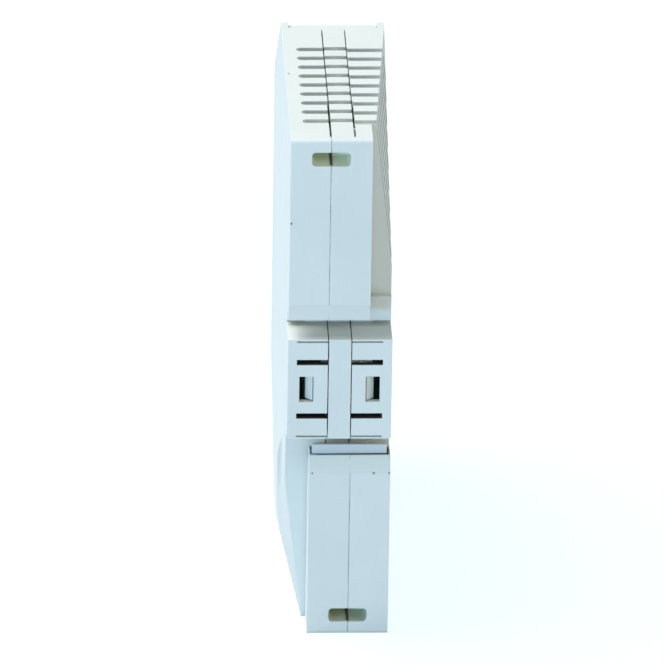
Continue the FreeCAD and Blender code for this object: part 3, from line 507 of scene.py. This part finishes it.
def circuit_board(name, colour):
    """Solder mask over copper: tracks, lands and the weave of the laminate."""
    graph = Graph(name)
    along = graph.cells(2.6 * mm, graph.stretch((0.001, 1.0, 0.35)))
    along.distance = "CHEBYCHEV"
    across = graph.cells(3.4 * mm, graph.stretch((0.001, 0.3, 1.0)))
    across.distance = "CHEBYCHEV"
    first = graph.remap(along.outputs["Distance"], 0.16, 0.20, 1.0, 0.0)
    second = graph.remap(across.outputs["Distance"], 0.14, 0.18, 1.0, 0.0)
    tracks = graph.math("MAXIMUM", first, second)
    weave = graph.noise(0.4 * mm, 2.0, 0.5)
    mask = graph.mix(graph.remap(weave, 0.3, 0.7, 0.0, 1.0), shade(colour, 0.85), shade(colour, 1.1))
    over_copper = shade((colour[0] * 1.3, colour[1], colour[2]), 1.5)
    mask = graph.mix(graph.product(tracks, 0.7), mask, over_copper)
    lands = graph.cells(3.8 * mm, graph.stretch((0.001, 1.0, 1.0)))
    pad = graph.remap(lands.outputs["Distance"], 0.09, 0.11, 1.0, 0.0)
    mask = graph.mix(graph.math("MULTIPLY", pad, 0.85), mask, (0.62, 0.60, 0.55))
    graph.colour(mask)
    graph.roughness(graph.remap(weave, 0.3, 0.7, 0.24, 0.36))
    graph.bump(graph.math("ADD", tracks, graph.math("MULTIPLY", weave, 0.25)), 0.4, 0.03 * mm)
    graph.set(ior=1.52, coat=0.3, coat_roughness=0.15)
    return graph.material


def clear_plastic(name, colour, rough, transmission):
    """Clear moulding with fine scratches and a rubbed rim."""
    graph = Graph(name)
    scratches = graph.noise(0.5 * mm, 6.0, 0.7, graph.stretch((1.0, 1.0, 0.08)))
    tint = graph.mix(graph.remap(scratches, 0.4, 0.7, 0.0, 1.0), shade(colour, 0.95), shade(colour, 1.04))
    graph.colour(tint)
    rub = graph.math("MULTIPLY", graph.edges(0.3 * mm), 0.25)
    haze = graph.remap(scratches, 0.55, 0.85, rough, rough + 0.14)
    graph.roughness(graph.math("ADD", haze, rub))
    graph.bump(graph.noise(6 * mm, 2.0), 0.2, 0.02 * mm)
    graph.set(transmission=transmission, ior=1.58)
    return graph.material


def soft_rubber(name, colour):
    graph = Graph(name)
    bloom = graph.noise(3 * mm, 5.0, 0.6)
    tint = graph.mix(graph.remap(bloom, 0.35, 0.7, 0.0, 1.0), shade(colour, 0.85), shade(colour, 1.25))
    recess_tone = graph.math("MULTIPLY", graph.crevice(0.8 * mm), 0.4)
    graph.colour(graph.mix(recess_tone, tint, (0.33, 0.33, 0.34)))
    graph.roughness(graph.remap(bloom, 0.3, 0.7, 0.52, 0.72))
    graph.bump(graph.noise(0.2 * mm, 3.0), 0.4, 0.015 * mm)
    graph.set(ior=1.45)
    return graph.material


def wound_tape(name, colour):
    """Polyester tape in overlapping turns."""
    graph = Graph(name)
    wave = graph.add("ShaderNodeTexWave", wave_type="BANDS", bands_direction="Z")
    wave.inputs["Scale"].default_value = 1.0 / (4.0 * mm)
    wave.inputs["Distortion"].default_value = 1.2
    graph.link(graph.place, wave.inputs["Vector"])
    graph.colour(graph.mix(wave.outputs["Fac"], shade(colour, 0.78), shade(colour, 1.1)))
    graph.roughness(graph.remap(graph.noise(1 * mm), 0.3, 0.7, 0.25, 0.45))
    graph.bump(wave.outputs["Fac"], 0.4, 0.05 * mm)
    graph.set(ior=1.5)
    return graph.material


grey = (0.80, 0.80, 0.745)
materials = {
    "housing_plastic": moulded_plastic("housing_plastic", grey, seams=True),
    "frame_plastic": moulded_plastic("frame_plastic", shade(grey, 0.985), seams=True),
    "hook_plastic": moulded_plastic("hook_plastic", shade(grey, 0.95), gloss=0.42, seams=True),
    "latch_plastic": moulded_plastic("latch_plastic", (0.74, 0.76, 0.76), gloss=0.38),
    "bezel_plastic": moulded_plastic("bezel_plastic", shade(grey, 1.01)),
    "flap_clear": clear_plastic("flap_clear", (0.80, 0.84, 0.86), 0.03, 0.96),
    "spring_steel": metal("spring_steel", (0.55, 0.55, 0.56), 0.32, (1.0, 0.1, 1.0)),
    "pin_steel": metal("pin_steel", (0.62, 0.62, 0.63), 0.22, (0.05, 1.0, 1.0)),
    "screw_steel": metal("screw_steel", (0.66, 0.66, 0.63), 0.3, (0.3, 1.0, 1.0)),
    "board_green": circuit_board("board_green", (0.018, 0.12, 0.055)),
    "connector_black": moulded_plastic("connector_black", (0.030, 0.030, 0.033), gloss=0.45, specks=False),
    "chip_black": moulded_plastic("chip_black", (0.022, 0.022, 0.023), gloss=0.55, specks=False),
    "transformer_tape": wound_tape("transformer_tape", (0.52, 0.38, 0.05)),
    "capacitor_can": metal("capacitor_can", (0.60, 0.60, 0.62), 0.26, (1.0, 0.2, 0.2)),
    "spreader_aluminium": metal("spreader_aluminium", (0.70, 0.70, 0.71), 0.34, (1.0, 1.0, 0.04)),
    "contact_tin": metal("contact_tin", (0.66, 0.65, 0.62), 0.24),
    "contact_gold": metal("contact_gold", (0.72, 0.50, 0.19), 0.2),
    "plug_green": moulded_plastic("plug_green", (0.030, 0.17, 0.065), gloss=0.42, specks=False),
    "jack_shield": metal("jack_shield", (0.62, 0.62, 0.62), 0.32, hollow=5 * mm, dark=0.06),
    "transceiver_body": metal("transceiver_body", (0.52, 0.52, 0.53), 0.4, (1.0, 1.0, 1.0)),
    "port_metal": metal("port_metal", (0.66, 0.66, 0.67), 0.18),
    "sleeve_ceramic": moulded_plastic("sleeve_ceramic", (0.82, 0.82, 0.79), gloss=0.25, specks=False),
    "cap_rubber": soft_rubber("cap_rubber", (0.022, 0.075, 0.22)),
    "light_clear": clear_plastic("light_clear", (0.86, 0.90, 0.92), 0.08, 0.9),
    "lamp_white": moulded_plastic("lamp_white", (0.80, 0.80, 0.72), gloss=0.3, specks=False),
    "switch_case": moulded_plastic("switch_case", (0.035, 0.035, 0.040), gloss=0.5, specks=False),
    "dial_plastic": moulded_plastic("dial_plastic", (0.78, 0.78, 0.76), gloss=0.4),
    "dip_red": moulded_plastic("dip_red", (0.34, 0.022, 0.018), gloss=0.4, specks=False),
    "slider_white": moulded_plastic("slider_white", (0.80, 0.80, 0.78), gloss=0.35, specks=False),
    "button_plastic": moulded_plastic("button_plastic", (0.06, 0.06, 0.065), gloss=0.42, specks=False),
}

for name, node in nodes.items():
    node.data.materials.clear()
    node.data.materials.append(materials[slot_of[name]])
    node.data.shade_smooth()
    node.data.set_sharp_from_angle(angle=math.radians(30))


# ---------------------------------------------------------------- rounded copies of the main mouldings

main_mouldings = ("left_shell", "right_shell", "centre_frame", "upper_rail_hook")
main_mouldings += ("lower_latch_guide", "rail_latch", "front_bezel", "front_flap")
for node in main_mouldings:
    soften(node)


# ---------------------------------------------------------------- added detail


def build_mesh(name, vertices, faces):
    data = bpy.data.meshes.new(name)
    data.from_pydata(vertices, [], faces)
    data.validate()
    data.update()
    return data


def revolved(name, origin, axis, side, profile):
    """A closed body turned about axis. A profile point is (along, radius, share of the rib depth)."""
    third = axis.cross(side)
    count = rib_count * points_per_rib
    vertices = []
    rings = []
    for along, radius, ribbed in profile:
        if radius == 0.0:
            rings.append([len(vertices)] * count)
            vertices.append(origin + axis * along)
            continue
        rings.append(list(range(len(vertices), len(vertices) + count)))
        for index in range(count):
            angle = 2 * math.pi * index / count
            dip = ribbed * rib_depth * (0.5 - 0.5 * math.cos(rib_count * angle))
            out = side * math.cos(angle) + third * math.sin(angle)
            vertices.append(origin + axis * along + out * (radius - dip))
    faces = []
    for first, second in zip(rings, rings[1:]):
        for index in range(count):
            follow = (index + 1) % count
            corners = [first[index], first[follow], second[follow], second[index]]
            faces.append(list(dict.fromkeys(corners)))
    return build_mesh(name, vertices, faces)


def pull_axis(node):
    """The direction in which a removable piece comes off."""
    joints = frame["record"]["behaviour"]["joints"]
    return Vector(next(joint["axis"] for joint in joints if joint["child"] == body_of[node]))


def cap_outside(radius, tall):
    """From the middle of the dished end, over the rim and down the ribs to the open end."""
    dish = tall - 0.3 * mm
    return [
        (dish, 0.0, 0),
        (dish, radius - 2.0 * mm, 0),
        (tall, radius - 1.5 * mm, 0),
        (tall, radius - 0.75 * mm, 0),
        (tall - 0.2 * mm, radius - 0.32 * mm, 0),
        (tall - 0.6 * mm, radius - 0.08 * mm, 0),
        (tall - 1.0 * mm, radius, 0.4),
        (tall - 1.5 * mm, radius, 1),
        (1.6 * mm, radius, 1),
        (1.3 * mm, radius, 0),
        (0.2 * mm, radius, 0),
        (0.0, radius - 0.25 * mm, 0),
    ]


def cap_inside(radius, tall):
    """From the open end up the bore to the middle of its end."""
    lead_in = 0.2 * mm
    return [(0.0, radius + lead_in, 0), (lead_in, radius, 0), (tall, radius, 0), (tall, 0.0, 0)]


def ribbed_cap(node):
    """A dust cap with grip ribs and a dished end, in the place of the plain one."""
    axis = pull_axis(node)
    across = Vector((0.0, -axis.z, axis.y))
    points = [vert.co for vert in nodes[node].data.vertices]
    along = [point.dot(axis) for point in points]
    level = [point.dot(across) for point in points]
    base = min(along)
    tall = max(along) - base
    radius = (max(level) - min(level)) / 2
    origin = axis * base + across * (max(level) + min(level)) / 2
    profile = cap_outside(radius, tall) + cap_inside(radius - cap_wall, tall - cap_top)
    name = node + "_ribbed"
    data = revolved(name, origin, axis, Vector((1.0, 0.0, 0.0)), profile)
    data.shade_smooth()
    data.set_sharp_from_angle(angle=math.radians(40))
    piece = mesh_object(name, data)
    finished(piece, body_of[node], materials[slot_of[node]])
    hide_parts(node)


def plate_block(vertices, faces, centre, half_wide, half_tall, turn=0.0):
    """A thin raised mark on the front face, turned about its own centre."""
    start = len(vertices)
    right = Vector((-math.cos(turn), 0.0, -math.sin(turn)))
    up = Vector((-math.sin(turn), 0.0, math.cos(turn)))
    for lift in (-ink_root, ink_height):
        for a, b in ((-1, -1), (1, -1), (1, 1), (-1, 1)):
            vertices.append(centre + right * a * half_wide + up * b * half_tall + Vector((0.0, lift, 0.0)))
    order = [(3, 2, 1, 0), (4, 5, 6, 7), (0, 1, 5, 4), (1, 2, 6, 5), (2, 3, 7, 6), (3, 0, 4, 7)]
    faces += [[start + corner_shade for corner_shade in face] for face in order]


def digit(vertices, faces, value, centre):
    """A numeral of straight strokes, seen upright from the front."""
    wide, tall, stroke = 0.32 * mm, 0.52 * mm, 0.085 * mm
    strokes = {"a": (0, 1, 1), "b": (1, 0.5, 0), "c": (1, -0.5, 0), "d": (0, -1, 1),
               "e": (-1, -0.5, 0), "f": (-1, 0.5, 0), "g": (0, 0, 1)}
    lit = ("abcdef", "bc", "abged", "abgcd", "fgbc", "afgcd", "afgecd", "abc", "abcdefg", "abcdfg")[value]
    for key in lit:
        right, up, level = strokes[key]
        at = centre + Vector((-right * wide, 0.0, up * tall))
        if level:
            plate_block(vertices, faces, at, wide + stroke, stroke)
        else:
            plate_block(vertices, faces, at, stroke, tall / 2 + stroke)


def dial_scale():
    """Ten ticks and the numbers 0 to 9 printed round the rotary dial."""
    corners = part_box("rotary_dial")
    face_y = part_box("front_flap")[0].y
    points = [vert.co.y for vert in nodes["front_bezel"].data.vertices if vert.co.y < face_y]
    centre = Vector(((corners[0].x + corners[1].x) / 2, max(points), (corners[0].z + corners[1].z) / 2))
    radius = (corners[1].x - corners[0].x) / 2
    vertices, faces = [], []
    for value in range(10):
        turn = 2 * math.pi * value / 10
        out = Vector((-math.sin(turn), 0.0, math.cos(turn)))
        plate_block(vertices, faces, centre + out * (radius + 0.75 * mm), 0.07 * mm, 0.26 * mm, turn)
        digit(vertices, faces, value, centre + out * (radius + 1.85 * mm))
    piece = mesh_object("dial_scale", build_mesh("dial_scale", vertices, faces))
    finished(piece, body_of["front_bezel"], materials["switch_case"])


for node in ("dust_cap_rear", "dust_cap_front"):
    ribbed_cap(node)
dial_scale()


# ---------------------------------------------------------------- stage, lights and camera


def floor():
    """Pale floor. To the camera it is nearly white, so only a faint shadow shows. It is clear from below."""
    data = bpy.data.meshes.new("floor")
    level = low.z + floor_gap
    around = ((-1, -1), (1, -1), (1, 1), (-1, 1))
    corners = [(floor_size * a, floor_size * b, level) for a, b in around]
    data.from_pydata(corners, [], [(0, 1, 2, 3)])
    plane = mesh_object("floor", data)
    graph = Graph("floor_paint")
    side = graph.add("ShaderNodeNewGeometry")
    graph.link(graph.math("SUBTRACT", 1.0, side.outputs["Backfacing"]), graph.shader.inputs["Alpha"])
    soft = graph.noise(0.4, 3.0)
    path = graph.add("ShaderNodeLightPath")
    seen = graph.mix(soft, *floor_seen)
    bounced = graph.mix(soft, *floor_bounce)
    graph.colour(graph.mix(path.outputs["Is Camera Ray"], bounced, seen))
    graph.roughness(graph.remap(soft, 0.3, 0.7, 0.75, 0.85))
    graph.set(specular=0.0)
    graph.shader.inputs["Emission Color"].default_value = floor_glow
    graph.link(path.outputs["Is Camera Ray"], graph.shader.inputs["Emission Strength"])
    data.materials.append(graph.material)


def area_light(name, place, size, power, colour):
    data = bpy.data.lights.new(name, "AREA")
    data.shape = "DISK"
    data.size = size
    data.energy = power
    data.color = colour
    lamp = collection_link(bpy.data.objects.new(name, data))
    lamp.location = place
    lamp.rotation_euler = (middle - Vector(place)).to_track_quat("-Z", "Y").to_euler()


def studio_world():
    """White to the camera, and a dimmer cool fill on the object."""
    world = bpy.data.worlds.new("studio")
    world.use_nodes = True
    tree = world.node_tree
    fill = tree.nodes["Background"]
    fill.inputs["Color"].default_value = fill_colour
    fill.inputs["Strength"].default_value = fill_strength
    backdrop = tree.nodes.new("ShaderNodeBackground")
    backdrop.inputs["Color"].default_value = (1.0, 1.0, 1.0, 1.0)
    backdrop.inputs["Strength"].default_value = backdrop_strength
    path = tree.nodes.new("ShaderNodeLightPath")
    mix = tree.nodes.new("ShaderNodeMixShader")
    tree.links.new(path.outputs["Is Camera Ray"], mix.inputs["Fac"])
    tree.links.new(fill.outputs["Background"], mix.inputs[1])
    tree.links.new(backdrop.outputs["Background"], mix.inputs[2])
    tree.links.new(mix.outputs["Shader"], tree.nodes["World Output"].inputs["Surface"])
    bpy.context.scene.world = world


def sun_light(name, toward, strength, spread, colour):
    """Even soft light that comes from the direction toward."""
    data = bpy.data.lights.new(name, "SUN")
    data.energy = strength
    data.angle = math.radians(spread)
    data.color = colour
    lamp = collection_link(bpy.data.objects.new(name, data))
    lamp.rotation_euler = Vector(toward).to_track_quat("Z", "Y").to_euler()


def lights():
    sun_light("key", toward=(-0.54, 0.22, 1.0), strength=2.95, spread=50.0, colour=(0.91, 0.94, 1.0))
    area_light("window", place=(-1.35, -1.7, 0.05), size=0.8, power=36.0, colour=(0.33, 0.64, 1.0))
    area_light("opposite", place=(1.5, -1.1, 0.8), size=0.9, power=5.5, colour=(1.0, 0.97, 0.86))
    studio_world()
    bpy.context.scene.view_settings.view_transform = "Standard"


def camera():
    data = bpy.data.cameras.new("camera")
    data.sensor_width = sensor_width
    data.lens = view_lens
    data.clip_end = 50.0
    cos_up = math.cos(view_elevation)
    outward = Vector((math.sin(view_azimuth), -math.cos(view_azimuth), 0.0))
    back = outward * cos_up + Vector((0.0, 0.0, math.sin(view_elevation)))
    level = Vector((math.cos(view_azimuth), math.sin(view_azimuth), 0.0))
    rise = back.cross(level)
    right = level * math.cos(view_roll) - rise * math.sin(view_roll)
    up = level * math.sin(view_roll) + rise * math.cos(view_roll)
    eye = collection_link(bpy.data.objects.new("camera", data))
    turn = Matrix((right, up, back)).transposed().to_4x4()
    eye.matrix_world = Matrix.Translation(aim - up * aim_drop + back * view_distance) @ turn
    bpy.context.scene.camera = eye


floor()
lights()
camera()
